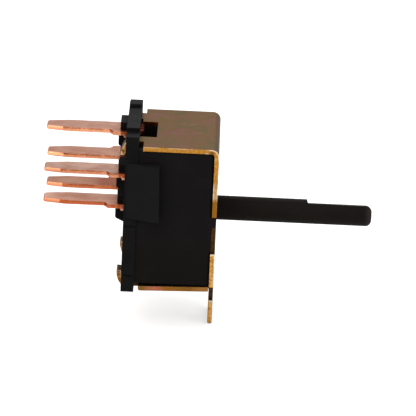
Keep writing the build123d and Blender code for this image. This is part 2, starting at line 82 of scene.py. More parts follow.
@dataclass(frozen=True)
class Pattern:
    """A noise: features per metre, octaves, strength of the fine ones, and warp."""

    scale: float
    octaves: float = 3.0
    fine: float = 0.5
    warp: float = 0.0


class ShaderTree:
    """Adds and joins the nodes of one material or shader group."""

    MIX_INPUTS = (0, 6, 7)  # a Mix node's share and its two colours
    MIX_RESULT = 2
    RAMP_MIDDLE = 0.5

    def __init__(self, tree: bpy.types.NodeTree) -> None:
        """Work on the node tree of a material, a world or a shader group."""
        self.tree = tree

    def feed(self, socket: Socket, value: Any) -> None:
        """Join an input to an output, or set its value.

        Args:
            socket: the input to fill.
            value: an output socket, or a plain value.
        """
        if isinstance(value, Socket):
            self.tree.links.new(value, socket)
        else:
            socket.default_value = value

    def add(self, kind: str, inputs: dict[Any, Any] | None = None,
            **settings: Any) -> bpy.types.Node:
        """Add a node.

        Args:
            kind: the node's type, without the ShaderNode prefix.
            inputs: values or output sockets by input name or number.
            **settings: the node's own properties.

        Returns:
            The new node.
        """
        node = self.tree.nodes.new("ShaderNode" + kind)
        for name, value in settings.items():
            setattr(node, name, value)
        for name, value in (inputs or {}).items():
            self.feed(node.inputs[name], value)
        return node

    def math(self, operation: str, *values: Any, clamp: bool = False) -> Socket:
        """Add a Math node.

        Args:
            operation: Blender's name of the operation.
            *values: up to three numbers or sockets.
            clamp: keep the result between 0 and 1.

        Returns:
            The result's socket.
        """
        node = self.add("Math", dict(enumerate(values)), operation=operation, use_clamp=clamp)
        return node.outputs[0]

    def chain(self, operation: str, first: Any, *others: Any) -> Socket:
        """Join several values by one operation, from left to right.

        Args:
            operation: Blender's name of an operation on two values.
            first: the first number or socket.
            *others: the rest.

        Returns:
            The result's socket.
        """
        for other in others:
            first = self.math(operation, first, other)
        return first

    def product(self, *values: Any) -> Socket:
        """Multiply values."""
        return self.chain("MULTIPLY", *values)

    def highest(self, *values: Any) -> Socket:
        """Return the highest of several values."""
        return self.chain("MAXIMUM", *values)

    def below(self, value: Any, limit: Any) -> Socket:
        """Return 1 where a value is below its limit."""
        return self.math("LESS_THAN", value, limit)

    def above(self, value: Any, limit: Any) -> Socket:
        """Return 1 where a value is above its limit."""
        return self.math("GREATER_THAN", value, limit)

    def off(self, value: Any, middle: float) -> Socket:
        """Return how far a value is from a middle, on either side."""
        return self.math("ABSOLUTE", self.math("SUBTRACT", value, middle))

    def measure(self, operation: str, *values: Any) -> Socket:
        """Return the number that a Vector Math node gives."""
        node = self.add("VectorMath", dict(enumerate(values)), operation=operation)
        return node.outputs["Value"]

    def split(self, vector: Socket) -> tuple[Socket, ...]:
        """Return a vector's X, Y and Z."""
        return tuple(self.add("SeparateXYZ", {0: vector}).outputs)

    def noise(self, where: Socket, pattern: Pattern, scale: Any = None) -> Socket:
        """Add a noise texture.

        Args:
            where: the coordinates' socket.
            pattern: the kind of noise.
            scale: a socket or value that takes the place of the pattern's own scale.

        Returns:
            The value's socket, 0 to 1.
        """
        node = self.add("TexNoise", {
            "Vector": where, "Scale": pattern.scale if scale is None else scale,
            "Detail": pattern.octaves, "Roughness": pattern.fine, "Distortion": pattern.warp})
        return node.outputs["Fac"]

    def fade(self, value: Any, zone: Fade) -> Socket:
        """Map a value through a fade.

        Args:
            value: the socket to map.
            zone: where the change happens, and between which results.

        Returns:
            The result's socket.
        """
        settings = (value, zone.start, zone.end, zone.first, zone.last)
        node = self.add("MapRange", dict(enumerate(settings)), interpolation_type="SMOOTHSTEP")
        return node.outputs[0]

    def blend(self, share: Any, first: Any, second: Any) -> Socket:
        """Mix two colours.

        Args:
            share: share of the second colour.
            first: a colour or socket.
            second: a colour or socket.

        Returns:
            The mixed colour's socket.
        """
        node = self.add("Mix", data_type="RGBA", blend_type="MIX")
        for number, value in zip(self.MIX_INPUTS, (share, first, second)):
            self.feed(node.inputs[number], (*value, 1.0) if isinstance(value, tuple) else value)
        return node.outputs[self.MIX_RESULT]

    def ramp(self, value: Any, stops: Stops) -> Socket:
        """Colour a value through a ramp.

        Args:
            value: the socket to colour.
            stops: position and colour of each stop, in order.

        Returns:
            The colour's socket.
        """
        node = self.add("ValToRGB", {0: value})
        elements = node.color_ramp.elements
        while len(elements) < len(stops):
            elements.new(self.RAMP_MIDDLE)
        for element, (place, colour) in zip(elements, stops):
            element.position = place
            element.color = (*colour, 1.0)
        return node.outputs[0]

    def own_place(self) -> Socket:
        """Return the coordinates on the piece itself, in metres."""
        return self.add("TexCoord").outputs["Object"]

    def own_normal(self) -> Socket:
        """Return the surface's direction on the piece itself."""
        return self.add("TexCoord").outputs["Normal"]


# ------------------------------------------------------------------ shared shader groups
class ShaderGroup(ABC):
    """A shader group with named inputs and outputs; its fields are its inner sizes."""

    inputs: Inputs

    @abstractmethod
    def wire(self, tree: ShaderTree, given: Any) -> dict[str, Socket]:
        """Add the group's nodes.

        Args:
            tree: the group's tree.
            given: its inputs, by name.

        Returns:
            Its outputs, by name.
        """

    def build(self, name: str) -> bpy.types.NodeTree:
        """Build the group.

        Args:
            name: the group's name.

        Returns:
            The group's node tree.
        """
        group = bpy.data.node_groups.new(name, "ShaderNodeTree")
        for label, default in self.inputs.items():
            socket = group.interface.new_socket(label, in_out="INPUT",
                                                socket_type="NodeSocketFloat")
            socket.default_value = default
        given = group.nodes.new("NodeGroupInput")
        result = group.nodes.new("NodeGroupOutput")
        tree = ShaderTree(group)
        for label, socket in self.wire(tree, given.outputs).items():
            kind = "NodeSocketVector" if socket.type == "VECTOR" else "NodeSocketFloat"
            group.interface.new_socket(label, in_out="OUTPUT", socket_type=kind)
            tree.feed(result.inputs[label], socket)
        return group


@dataclass(frozen=True)
class RoundedEdges(ShaderGroup):
    """Rounds sharp edges and masks their worn crests.

    Crest is the plain mask, Mask is broken up, Upper marks the strip under an upper edge,
    and Tilt is the direction in which the nearest edge leans the surface.
    """

    patches: Pattern = Pattern(350.0, 4.0, 0.6)
    patchy: Fade = Fade(0.4, 0.6)
    below_edge: Fade = Fade(0.03, 0.25)
    edge_samples: int = 4
    wear_samples: int = 6
    inputs: Inputs = {"Radius": 0.15 * MM, "Wear": 0.4 * MM, "Gain": 5.0,
                      "Breakup": patches.scale}

    def wire(self, tree: ShaderTree, given: Any) -> dict[str, Socket]:
        """Add the group's nodes.

        Args:
            tree: the group's tree.
            given: its inputs, by name.

        Returns:
            Its outputs, by name.
        """
        bevel = tree.add("Bevel", {"Radius": given["Radius"]}, samples=self.edge_samples)
        wide = tree.add("Bevel", {"Radius": given["Wear"]}, samples=self.wear_samples).outputs[0]
        flat = tree.add("NewGeometry").outputs["Normal"]
        bent = tree.math("SUBTRACT", 1.0, tree.measure("DOT_PRODUCT", wide, flat))
        crest = tree.math("MULTIPLY", bent, given["Gain"], clamp=True)
        patchy = tree.noise(tree.own_place(), self.patches, given["Breakup"])
        return {"Normal": bevel.outputs[0], "Crest": crest,
                "Mask": tree.product(crest, tree.fade(patchy, self.patchy)),
                "Upper": tree.fade(tree.split(wide)[Axis.Z.value], self.below_edge),
                "Tilt": wide}


@dataclass(frozen=True)
class MouldedSkin(ShaderGroup):
    """A moulded plastic skin: spark-eroded grain with wider pits, and flow tone."""

    grain: Pattern = Pattern(5200.0, 2.0, 0.6)
    pits: Pattern = Pattern(0.27, 2.0)  # its scale is a share of the grain's
    pit_height: float = 0.5
    flow: Pattern = Pattern(130.0, 4.0, 0.55, 0.6)
    flow_tone: Fade = Fade(0.3, 0.7)
    grain_gloss: float = 0.35
    inputs: Inputs = {"Grain": grain.scale, "Flow": flow.scale}

    def wire(self, tree: ShaderTree, given: Any) -> dict[str, Socket]:
        """Add the group's nodes.

        Args:
            tree: the group's tree.
            given: its inputs, by name.

        Returns:
            Its outputs, by name.
        """
        place = tree.own_place()
        grain = tree.noise(place, self.grain, given["Grain"])
        pits = tree.noise(place, self.pits, tree.product(given["Grain"], self.pits.scale))
        flow = tree.noise(place, self.flow, given["Flow"])
        return {"Height": tree.math("MULTIPLY_ADD", pits, self.pit_height, grain),
                "Tone": tree.fade(flow, self.flow_tone),
                "Gloss": tree.math("MULTIPLY_ADD", grain, self.grain_gloss, flow)}


@dataclass(frozen=True)
class RolledSheet(ShaderGroup):
    """Rolled metal: fine lines along X, with soft clouds in the tone."""

    lines: Pattern = Pattern(4200.0, 3.0, 0.6)
    cloud: Pattern = Pattern(260.0, 3.0, 0.5, 0.4)
    line_tone: float = 0.5
    cloud_tone: float = 0.5
    inputs: Inputs = {"Lines": lines.scale, "Stretch": 0.03, "Cloud": cloud.scale}

    def wire(self, tree: ShaderTree, given: Any) -> dict[str, Socket]:
        """Add the group's nodes.

        Args:
            tree: the group's tree.
            given: its inputs, by name.

        Returns:
            Its outputs, by name.
        """
        place = tree.own_place()
        along, across, up = tree.split(place)
        drawn = tree.add("CombineXYZ", {0: tree.product(along, given["Stretch"]),
                                        1: across, 2: up})
        lines = tree.noise(drawn.outputs[0], self.lines, given["Lines"])
        cloud = tree.product(tree.noise(place, self.cloud, given["Cloud"]), self.cloud_tone)
        return {"Height": lines, "Tone": tree.math("MULTIPLY_ADD", lines, self.line_tone, cloud)}


@dataclass(frozen=True)
class Scuffs(ShaderGroup):
    """Thin handling scratches in places, and dusty patches."""

    bend_octaves: float = 1.0
    bend: Point = (0.002, 0.002, 0.002)
    turn: Point = (0.6, 0.9, 0.4)
    stretch: Point = (0.12, 1.0, 1.0)
    places: Pattern = Pattern(160.0, 2.0)
    place_share: Fade = Fade(0.52, 0.66)
    dust: Pattern = Pattern(700.0, 6.0, 0.7)
    dust_share: Fade = Fade(0.55, 0.8)
    inputs: Inputs = {"Scale": 420.0, "Width": 0.012}

    def wire(self, tree: ShaderTree, given: Any) -> dict[str, Socket]:
        """Add the group's nodes.

        Args:
            tree: the group's tree.
            given: its inputs, by name.

        Returns:
            Its outputs, by name.
        """
        place = tree.own_place()
        bent = tree.add("TexNoise", {"Vector": place, "Scale": given["Scale"],
                                     "Detail": self.bend_octaves}).outputs["Color"]
        shifted = tree.add("VectorMath", {0: bent, 1: self.bend, 2: place},
                           operation="MULTIPLY_ADD").outputs[0]
        turned = tree.add("Mapping", {"Vector": shifted, "Rotation": self.turn,
                                      "Scale": self.stretch}).outputs[0]
        cells = tree.add("TexVoronoi", {"Vector": turned, "Scale": given["Scale"]},
                         feature="DISTANCE_TO_EDGE")
        line = tree.below(cells.outputs["Distance"], given["Width"])
        where = tree.fade(tree.noise(place, self.places), self.place_share)
        return {"Scratch": tree.product(line, where),
                "Dust": tree.fade(tree.noise(place, self.dust), self.dust_share)}


@dataclass(frozen=True)
class CutFaces(ShaderGroup):
    """The sheared faces of a sheet, told by their direction, with the tear's streaks."""

    streak: Point = (1.0, 1.0, 0.5)
    torn: Pattern = Pattern(2600.0, 4.0, 0.65, 0.8)
    torn_share: Fade = Fade(0.3, 0.7)
    inputs: Inputs = {"Rear": 1.0, "Squareness": 0.75}

    def wire(self, tree: ShaderTree, given: Any) -> dict[str, Socket]:
        """Add the group's nodes.

        Args:
            tree: the group's tree.
            given: its inputs, by name.

        Returns:
            Its outputs, by name.
        """
        along, across, _ = tree.split(tree.own_normal())
        side = tree.above(tree.math("ABSOLUTE", across), given["Squareness"])
        rear = tree.above(tree.product(along, -1.0), given["Squareness"])
        streaks = tree.add("Mapping", {"Vector": tree.own_place(), "Scale": self.streak})
        torn = tree.noise(streaks.outputs[0], self.torn)
        return {"Mask": tree.highest(side, tree.product(rear, given["Rear"])),
                "Break": tree.fade(torn, self.torn_share)}


class Effect(Enum):
    """Shader groups that several finishes share."""

    ROUNDED_EDGES = RoundedEdges()
    MOULDED_SKIN = MouldedSkin()
    ROLLED_SHEET = RolledSheet()
    SCUFFS = Scuffs()
    CUT_FACES = CutFaces()


class MaterialTree(ShaderTree):
    """The nodes of one material, round its Principled shader."""

    def __init__(self, name: str) -> None:
        """Open a new material by this name."""
        self.material = bpy.data.materials.new(name)
        self.material.use_nodes = True
        super().__init__(self.material.node_tree)
        self.shader = self.tree.nodes["Principled BSDF"]

    def place(self, effect: Effect, **inputs: Any) -> Any:
        """Put a shared group in the material, and build it the first time.

        Args:
            effect: the group to place.
            **inputs: values or sockets by input name.

        Returns:
            The group's outputs, by name.
        """
        name = effect.name.lower()
        node = self.tree.nodes.new("ShaderNodeGroup")
        node.node_tree = bpy.data.node_groups.get(name) or effect.value.build(name)
        for label, value in inputs.items():
            self.feed(node.inputs[label], value)
        return node.outputs

    def fix(self, **values: Any) -> None:
        """Set the shader's plain values, by input name with _ for a space."""
        for name, value in values.items():
            self.shader.inputs[name.replace("_", " ")].default_value = value

    def coat(self, colour: Socket, roughness: Socket, height: Socket, depth: float,
             normal: Socket) -> None:
        """Feed the shader with what varies over the surface.

        Args:
            colour: the base colour.
            roughness: the roughness.
            height: the relief's height, 0 to 1.
            depth: the relief's depth in metres.
            normal: the normal that the relief starts from.
        """
        bump = self.add("Bump", {"Height": height, "Distance": depth, "Strength": 1.0,
                                 "Normal": normal})
        self.feed(self.shader.inputs["Base Color"], colour)
        self.feed(self.shader.inputs["Roughness"], roughness)
        self.feed(self.shader.inputs["Normal"], bump.outputs[0])


# ------------------------------------------------------------------ finishes
@dataclass(frozen=True, kw_only=True)
class Finish(ABC):
    """What every finish has: a name, the depth of its relief and its nodes."""

    name: str
    relief: float

    @abstractmethod
    def lay(self, tree: MaterialTree) -> None:
        """Add the finish's nodes.

        Args:
            tree: the material's tree.
        """

    def build(self) -> bpy.types.Material:
        """Build the finish's material.

        Returns:
            The material.
        """
        tree = MaterialTree(self.name)
        self.lay(tree)
        return tree.material


@dataclass(frozen=True)
class ZoneTone:
    """A tone that takes over along an axis."""

    colour: Colour
    axis: Axis
    zone: Fade


@dataclass(frozen=True, kw_only=True)
class Moulding(Finish):
    """A moulded thermoplastic."""

    deep: Colour
    pale: Colour
    worn: Colour = (0.024, 0.022, 0.022)
    zone_tone: ZoneTone | None = None
    relief: float = 0.006 * MM
    grain: float = 5200.0
    edge: float = 0.18 * MM
    edge_gain: float = 1.6
    scratches: float = 0.2
    roughness: Fade = Fade(0.3, 1.0, 0.58, 0.72)
    dust: float = 0.12
    specular: float = 0.05

    def lay(self, tree: MaterialTree) -> None:
        """Add the finish's nodes.

        Args:
            tree: the material's tree.
        """
        edges = tree.place(Effect.ROUNDED_EDGES, Radius=self.edge, Gain=self.edge_gain)
        skin = tree.place(Effect.MOULDED_SKIN, Grain=self.grain)
        marks = tree.place(Effect.SCUFFS)
        body = tree.blend(skin["Tone"], self.deep, self.pale)
        # a tone along an axis: painted light on the board's ramp, a painted highlight on the
        # shaft's end, and a warmer lower housing
        if self.zone_tone:
            along = tree.split(tree.own_place())[self.zone_tone.axis.value]
            body = tree.blend(tree.fade(along, self.zone_tone.zone), body, self.zone_tone.colour)
        crest = tree.highest(edges["Mask"], tree.product(marks["Scratch"], self.scratches))
        dusty = tree.math("MULTIPLY_ADD", marks["Dust"], self.dust,
                          tree.fade(skin["Gloss"], self.roughness), clamp=True)
        tree.fix(Specular_IOR_Level=self.specular)
        tree.coat(tree.blend(crest, body, self.worn), dusty, skin["Height"], self.relief,
                  edges["Normal"])


@dataclass(frozen=True, kw_only=True)
class BrightMetal(Finish):
    """Silver-faced contacts, spring wire and hardened balls."""

    face: Colour = (0.72, 0.71, 0.68)
    dull: Colour = (0.50, 0.49, 0.47)
    dull_share: Fade = Fade(0.35, 0.65)
    roughness: Fade = Fade(0.3, 0.7, 0.2, 0.35)
    relief: float = 0.003 * MM
    edge: float = 0.08 * MM
    lines: float = 2400.0

    def lay(self, tree: MaterialTree) -> None:
        """Add the finish's nodes.

        Args:
            tree: the material's tree.
        """
        edges = tree.place(Effect.ROUNDED_EDGES, Radius=self.edge)
        sheet = tree.place(Effect.ROLLED_SHEET, Stretch=1.0, Lines=self.lines)
        colour = tree.blend(tree.fade(sheet["Tone"], self.dull_share), self.face, self.dull)
        tree.fix(Metallic=1.0)
        tree.coat(colour, tree.fade(sheet["Height"], self.roughness), sheet["Height"],
                  self.relief, edges["Normal"])


@dataclass(frozen=True, kw_only=True)
class StampedCopper(Finish):
    """Copper alloy strip: pinkish rolled faces and sheared edges, with painted shade and painted
    orange glints where it lies behind the bracket's window.

    The zones start from the blade's tip, from its root at the board or from its entry into
    the bracket's window. The light, dark and darkened tones scale a colour's channels.
    """

    face: Colour = (0.50, 0.29, 0.22)
    cut: Colour = (0.66, 0.27, 0.14)
    lead_in: Colour = (0.86, 0.37, 0.20)
    # the shear's rollover along the upper edge, also used as painted shade at the root
    rollover_and_shade: Colour = (0.27, 0.062, 0.020)
    # painted shade behind the bracket's window, and the painted orange glints in it
    enclosed_shade: Colour = (0.012, 0.003, 0.001)
    enclosed_glints: Colour = (0.26, 0.048, 0.022)
    # pale metal of edge wear and of the painted glint at the root
    crest: Colour = (0.88, 0.56, 0.42)
    tint: Colour = (0.46, 0.48, 0.50)
    face_light: Colour = (1.12, 1.2, 1.24)
    face_dark: Colour = (0.87, 0.78, 0.74)
    face_darkened: Colour = (0.72, 0.52, 0.47)
    cut_light: Colour = (1.08, 1.18, 1.25)
    cut_dark: Colour = (0.9, 0.75, 0.65)
    face_share: Fade = Fade(0.35, 0.65)
    darkening: float = 0.0
    relief: float = 0.006 * MM
    roughness: Fade = Fade(0.3, 0.7, 0.28, 0.42)
    rough_inside: float = 0.3
    edge: float = 0.12 * MM
    wear: float = 0.9 * MM
    wear_gain: float = 1.6
    squareness: float = 0.45
    scratch_scale: float = 520.0
    worn_share: float = 0.4
    scratch_share: float = 0.35
    tip: float = -42.25 * MM
    beyond_lead_in: Fade = Fade(3.9 * MM, 4.1 * MM)
    darkening_start: float = 10.0 * MM
    darkening_end: float = 14.0 * MM
    jags: Pattern = Pattern(500.0, 3.0, 0.6)
    jag_share: Fade = Fade(0.34, 0.5)
    # the root: painted shade on its rolled faces, its upper cut edge and the step, and a painted
    # glint on the step's nose
    root: float = -24.15 * MM
    root_zone: Fade = Fade(0.0, 0.2 * MM)
    root_shade: float = 0.85
    root_shade_falling: Fade = Fade(-0.2, -0.05)
    step: float = 0.3 * MM
    step_zone: Fade = Fade(0.15 * MM, 0.4 * MM, 0.95, 0.0)
    root_glint_zone: Fade = Fade(0.6 * MM, 0.8 * MM)
    root_glint_falling: Fade = Fade(-0.12, -0.4, 0.0, 0.6)
    # where the blade passes the bracket's window: painted shade with painted glint spots, then
    # painted shade alone further in
    entry: float = NOWHERE
    entry_zone: Fade = Fade(-0.8 * MM, 0.0)
    inner_zone: Fade = Fade(0.8 * MM, 1.0 * MM)
    glint_spots: Pattern = Pattern(700.0, 2.0)
    glint_spot_share: Fade = Fade(0.45, 0.6)

    @staticmethod
    def shade(colour: Colour, tone: Colour) -> Colour:
        """Return a colour with each channel scaled."""
        return tuple(channel * share for channel, share in zip(colour, tone))

    def lay(self, tree: MaterialTree) -> None:
        """Add the finish's nodes.

        Args:
            tree: the material's tree.
        """
        place = tree.own_place()
        along = tree.split(place)[Axis.X.value]
        edges = tree.place(Effect.ROUNDED_EDGES, Radius=self.edge, Wear=self.wear,
                           Gain=self.wear_gain)
        leaning = tree.split(edges["Tilt"])[Axis.Z.value]
        sheet = tree.place(Effect.ROLLED_SHEET)
        cut = tree.place(Effect.CUT_FACES, Squareness=self.squareness)
        marks = tree.place(Effect.SCUFFS, Scale=self.scratch_scale)
        root = tree.fade(along, self.root_zone.moved(self.root))
        parallel = tree.fade(along, self.beyond_lead_in.moved(self.tip))
        torn = tree.blend(cut["Break"], self.shade(self.cut, self.cut_light),
                          self.shade(self.cut, self.cut_dark))
        jagged = tree.fade(tree.noise(place, self.jags), self.jag_share)
        # painted shade at the step and on the root's upper cut edge; beyond the lead-in, the
        # dark line under the upper edge is the shear's rollover
        step_shade = tree.fade(tree.off(along, self.root + self.step), self.step_zone)
        rollover_and_root_shade = tree.highest(
            tree.product(edges["Upper"], jagged, parallel),
            tree.highest(step_shade, tree.product(root, tree.fade(leaning, self.root_shade_falling))))
        sheared = tree.blend(rollover_and_root_shade, tree.blend(parallel, self.lead_in, torn),
                             self.rollover_and_shade)
        coloured = tree.blend(cut["Mask"], self.rolled_colour(tree, sheet["Tone"], along, root),
                              sheared)
        bright = tree.highest(tree.product(edges["Mask"], self.worn_share),
                              tree.product(marks["Scratch"], self.scratch_share))
        # painted glint on the nose of the step at the root
        root_glint = tree.product(tree.fade(along, self.root_glint_zone.moved(self.root)),
                            tree.fade(leaning, self.root_glint_falling))
        bright = tree.highest(tree.product(bright, tree.math("SUBTRACT", 1.0, root)), root_glint)
        # painted shade and painted glints where the blade lies behind the bracket's window
        shaded_within = tree.fade(along, self.entry_zone.moved(self.entry))
        dark = tree.blend(tree.fade(tree.noise(place, self.glint_spots), self.glint_spot_share),
                          self.enclosed_shade, self.enclosed_glints)
        dark = tree.blend(tree.fade(along, self.inner_zone.moved(self.entry)), dark,
                          self.enclosed_shade)
        colour = tree.blend(shaded_within, tree.blend(bright, coloured, self.crest), dark)
        roughness = tree.math("MULTIPLY_ADD", shaded_within, self.rough_inside,
                              tree.fade(sheet["Tone"], self.roughness))
        height = tree.math("MULTIPLY_ADD", cut["Break"], cut["Mask"], sheet["Height"])
        tree.fix(Metallic=1.0, Specular_Tint=(*self.tint, 1.0))
        tree.coat(colour, roughness, height, self.relief, edges["Normal"])

    def rolled_colour(self, tree: MaterialTree, tone: Socket, along: Socket,
                      root: Socket) -> Socket:
        """Colour the rolled faces, darker in the middle where asked, with painted shade at the
        root.

        Args:
            tree: the material's tree.
            tone: the rolled sheet's tone.
            along: the place along X.
            root: the mask of the blade's root.

        Returns:
            The colour's socket.
        """
        rolled = tree.blend(tree.fade(tone, self.face_share),
                            self.shade(self.face, self.face_light),
                            self.shade(self.face, self.face_dark))
        # a darker zone from the middle towards the root, on the blade that asks for it
        zone = Fade(self.darkening_start, self.darkening_end, last=self.darkening).moved(self.tip)
        rolled = tree.blend(tree.fade(along, zone), rolled,
                            self.shade(self.face, self.face_darkened))
        # painted shade on the rolled faces at the root
        return tree.blend(tree.product(root, self.root_shade), rolled, self.rollover_and_shade)


# ------------------------------------------------------------------ the bracket's finish
@dataclass(frozen=True)
class FoldedSheet:
    """Places on the folded bracket, along X, Y or Z, with its specks and edge wear."""

    plate_rear: float = -1.25 * MM
    fold_end: float = -2.5 * MM
    window_end: float = -15.4 * MM
    wall_rear: float = -19.6 * MM
    board_rear: float = -22.5 * MM
    near_side: float = -16.1 * MM
    side_edge: float = 15.9 * MM
    wall_inside: float = 16.0 * MM
    lug_notch: float = -6.8 * MM
    low_wall: float = -15.1 * MM
    tab_top: float = -22.15 * MM
    specks: Pattern = Pattern(900.0, 4.0, 0.6, 0.4)
    edge: float = 0.14 * MM
    wear: float = 0.62 * MM
    wear_gain: float = 8.0


class SheetMasks:
    """Where a point lies on the folded sheet: the masks that the film's layers share."""

    def __init__(self, tree: MaterialTree, sheet: FoldedSheet) -> None:
        """Find the sheet's zones.

        Args:
            tree: the material's tree.
            sheet: the places on the sheet.
        """
        self.tree = tree
        self.sheet = sheet
        self.place = tree.own_place()
        self.along, across, self.up = tree.split(self.place)
        self.specks = tree.noise(self.place, sheet.specks)
        self.edges = tree.place(Effect.ROUNDED_EDGES, Radius=sheet.edge, Wear=sheet.wear,
                                Gain=sheet.wear_gain)
        self.curled = tree.below(self.along, sheet.board_rear)
        walls = tree.below(self.along, sheet.fold_end)
        self.cut = tree.place(Effect.CUT_FACES,
                              Rear=tree.math("SUBTRACT", walls, self.curled))
        self.in_plate = tree.above(self.along, sheet.plate_rear)
        self.flange = tree.product(tree.below(self.up, sheet.lug_notch), self.in_plate)
        self.low_edge = tree.product(tree.below(self.up, sheet.low_wall),
                                     tree.below(self.along, sheet.plate_rear))
        # recessed cut edges, which get painted shade
        self.recess = tree.product(tree.below(tree.math("ABSOLUTE", across), sheet.side_edge),
                                   tree.above(self.up, sheet.tab_top),
                                   tree.above(self.along, sheet.wall_rear))


@dataclass(frozen=True)
class PassivatedFilm:
    """The mottled film on the sheet's rolled faces."""

    film: Stops = (
        (0.0, (0.105, 0.105, 0.058)), (0.3, (0.140, 0.107, 0.056)),
        (0.45, (0.178, 0.103, 0.066)), (0.58, (0.158, 0.106, 0.050)),
        (0.72, (0.182, 0.098, 0.072)), (1.0, (0.205, 0.105, 0.092)))
    streak: Colour = (0.25, 0.165, 0.095)
    clouds: Pattern = Pattern(150.0, 3.0, 0.6, 1.0)
    cloud_share: Fade = Fade(0.25, 0.75, 0.0, 0.7)
    speck_share: float = 0.3
    streak_share: Fade = Fade(0.3, 0.7, 0.0, 0.15)

    def colour(self, zones: SheetMasks, tone: Socket) -> Socket:
        """Colour the rolled faces.

        Args:
            zones: the zones of the sheet.
            tone: the rolled sheet's tone.

        Returns:
            The colour's socket.
        """
        tree = zones.tree
        clouds = tree.fade(tree.noise(zones.place, self.clouds), self.cloud_share)
        mottled = tree.math("MULTIPLY_ADD", zones.specks, self.speck_share, clouds)
        return tree.blend(tree.fade(tone, self.streak_share), tree.ramp(mottled, self.film),
                          self.streak)


@dataclass(frozen=True)
class LowWallEdge:
    """The bottom wall's cut edge, banded along its length, and the bruises at the fold.

    A bruise has its place along X and Z on the near side, its fade and its colour.
    """

    bands: Stops = (
        (0.04, (0.180, 0.085, 0.012)), (0.09, (0.270, 0.100, 0.036)),
        (0.14, (0.325, 0.105, 0.050)), (0.30, (0.345, 0.092, 0.045)),
        (0.34, (0.240, 0.095, 0.014)), (0.52, (0.215, 0.082, 0.008)),
        (0.70, (0.185, 0.076, 0.009)), (0.85, (0.170, 0.072, 0.012)),
        (0.97, (0.250, 0.110, 0.022)))
    bare_share: Fade = Fade(0.3, 0.8, 0.0, 0.05)
    bruises: tuple[tuple[float, float, Fade, Colour], ...] = (
        (-1.8 * MM, 18.6 * MM, Fade(0.40 * MM, 0.88 * MM, 0.7, 0.0), (0.110, 0.045, 0.008)),
        (-3.0 * MM, 18.5 * MM, Fade(0.25 * MM, 0.55 * MM, 0.7, 0.0), BARE_STEEL),
        (-1.2 * MM, 17.2 * MM, Fade(0.40 * MM, 0.88 * MM, 0.7, 0.0), (0.52, 0.33, 0.10)))

    def cover(self, zones: SheetMasks, under: Socket) -> Socket:
        """Lay the edge's colours.

        Args:
            zones: the zones of the sheet.
            under: the colour so far.

        Returns:
            The new colour's socket.
        """
        tree = zones.tree
        sheet = zones.sheet
        length = tree.fade(zones.along, Fade(sheet.wall_rear, sheet.plate_rear))
        banded = tree.blend(tree.fade(zones.cut["Break"], self.bare_share),
                            tree.ramp(length, self.bands), BARE_STEEL)
        colour = tree.blend(zones.low_edge, under, banded)
        for along, up, zone, stain in self.bruises:
            away = tree.measure("DISTANCE", zones.place, (along, sheet.near_side, up))
            colour = tree.blend(tree.fade(away, zone), colour, stain)
        return colour


@dataclass(frozen=True)
class PlateFlank:
    """The front plate's cut flank: darker from below its top down to the notch, scraped bare,
    stained lower down.
    """

    upper_band: Colour = (0.225, 0.088, 0.006)
    upper_band_zone: Fade = Fade(7.6 * MM, 6.2 * MM, 0.0, 0.9)
    scrapes: Pattern = Pattern(1500.0, 3.0, 0.6)
    scrape_share: Fade = Fade(0.47, 0.55)
    scraped: tuple[tuple[float, Fade], ...] = (
        (9.0 * MM, Fade(1.2 * MM, 2.4 * MM, 0.6, 0.0)),
        (-13.2 * MM, Fade(0.7 * MM, 1.4 * MM, 0.7, 0.0)))
    stains: tuple[tuple[Colour, Pattern, Fade], ...] = (
        ((0.42, 0.115, 0.020), Pattern(1700.0, 1.0, 0.5, 0.4), Fade(0.5, 0.56, 0.0, 0.8)),
        ((0.56, 0.33, 0.09), Pattern(1300.0, 1.0, 0.5, 0.9), Fade(0.47, 0.55, 0.0, 0.8)))

    def cover(self, zones: SheetMasks, under: Socket) -> Socket:
        """Lay the flank's colours.

        Args:
            zones: the zones of the sheet.
            under: the colour so far.

        Returns:
            The new colour's socket.
        """
        tree = zones.tree
        # a darker band on the flank, from below its top down to the notch
        above_notch = tree.math("SUBTRACT", zones.in_plate, zones.flange)
        colour = tree.blend(tree.product(above_notch, tree.fade(zones.up, self.upper_band_zone)),
                            under, self.upper_band)
        broken = tree.fade(tree.noise(zones.place, self.scrapes), self.scrape_share)
        for height, zone in self.scraped:
            spot = tree.product(tree.fade(tree.off(zones.up, height), zone), broken)
            colour = tree.blend(spot, colour, BARE_STEEL)
        for stain, pattern, share in self.stains:
            patches = tree.fade(tree.noise(zones.place, pattern), share)
            colour = tree.blend(tree.product(zones.flange, patches), colour, stain)
        return colour


@dataclass(frozen=True)
class InnerEdges:
    """Cut edges inside the walls: painted shade, with a painted warm reflection of the copper at
    the top window's rear end.
    """

    dark: Colour = (0.020, 0.010, 0.004)
    dark_pale: Colour = (0.080, 0.036, 0.010)
    window_reflection: Colour = (0.062, 0.012, 0.001)
    window_reflection_pale: Colour = (0.240, 0.036, 0.003)
    window_reflection_zone: Fade = Fade(-1.2 * MM, 0.0)

    def cover(self, zones: SheetMasks, under: Socket) -> Socket:
        """Lay the inner edges' colours.

        Args:
            zones: the zones of the sheet.
            under: the colour so far.

        Returns:
            The new colour's socket.
        """
        tree = zones.tree
        pocket_shade = tree.blend(zones.cut["Break"], self.dark, self.dark_pale)
        reflected = tree.blend(
            tree.fade(zones.along, self.window_reflection_zone.moved(zones.sheet.window_end)),
            self.window_reflection, self.window_reflection_pale)
        pocket_shade = tree.blend(tree.above(zones.up, zones.sheet.wall_inside), pocket_shade, reflected)
        # painted shade on the recessed cut edges: the plate's notch, the tab's neck and the
        # edges inside the walls
        return tree.blend(zones.recess, under, pocket_shade)


